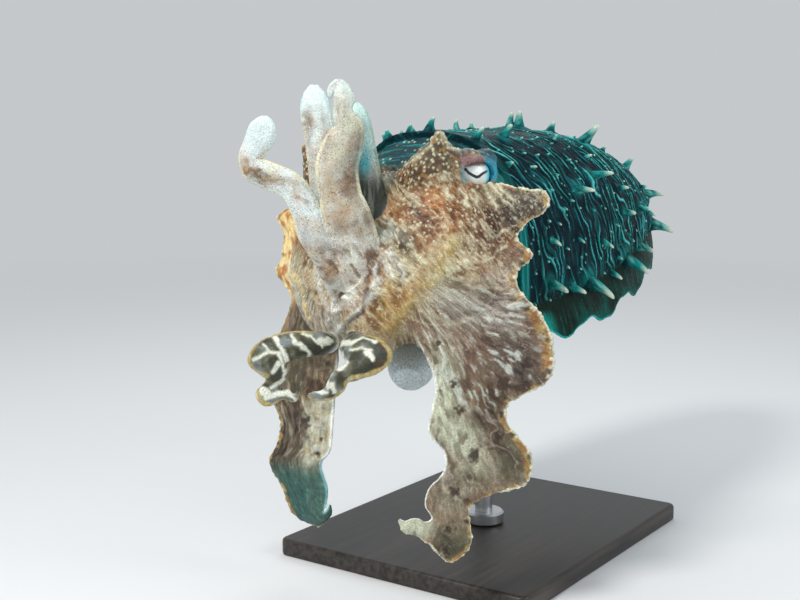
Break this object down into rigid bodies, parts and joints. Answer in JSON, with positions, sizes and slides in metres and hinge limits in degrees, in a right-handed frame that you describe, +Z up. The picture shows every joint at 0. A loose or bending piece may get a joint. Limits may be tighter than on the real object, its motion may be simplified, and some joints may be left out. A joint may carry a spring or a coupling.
{
  "type": "display model of a cuttlefish",
  "caption": "Life-size model of a broadclub cuttlefish with raised front arms and broad hanging arms, held up on a plain stand.",
  "frame": {"origin": "bottom centre of the whole model's bounding box, on the underside of the base", "axes": "+Z up, -Y the way the animal faces, +X its left side; the mantle lies along Y"},
  "size_m": [0.214, 0.4454, 0.3315],
  "materials": {
    "mantle_skin": "wet-looking skin, dark teal green",
    "head_skin": "wet-looking skin, mottled orange-brown",
    "arm_skin": "wet-looking skin, pale lilac-cream",
    "banded_skin": "wet-looking skin, olive with white bands",
    "web_skin": "wet-looking skin, pinkish brown",
    "fin_skin": "wet-looking skin, dark olive with teal",
    "funnel_skin": "wet-looking skin, speckled grey",
    "eye": "gloss, white with a dark pupil",
    "stand_metal": "satin",
    "stand_board": "satin dark grey"
  },
  "bodies": {
    "root": {"head": "head_skin", "eye_left": "eye", "eye_right": "eye", "mantle": "mantle_skin", "fin_left": "fin_skin", "fin_right": "fin_skin", "funnel": "funnel_skin", "arm_left_1_base": "arm_skin", "arm_left_1_tip": "arm_skin", "arm_left_2_base": "arm_skin", "arm_left_2_tip": "arm_skin", "arm_left_3_base": "banded_skin", "arm_left_3_middle": "banded_skin", "arm_left_3_tip": "banded_skin", "arm_left_4_web": "web_skin", "arm_left_4_base": "web_skin", "arm_left_4_middle": "web_skin", "arm_left_4_tip": "web_skin", "arm_right_1_base": "arm_skin", "arm_right_1_tip": "arm_skin", "arm_right_2_base": "arm_skin", "arm_right_2_tip": "arm_skin", "arm_right_3_base": "banded_skin", "arm_right_3_middle": "banded_skin", "arm_right_3_tip": "banded_skin", "arm_right_4_web": "web_skin", "arm_right_4_base": "web_skin", "arm_right_4_tip": "web_skin", "stand_base": "stand_board", "stand_rod": "stand_metal", "stand_collar": "stand_metal"}
  },
  "joints": []
}
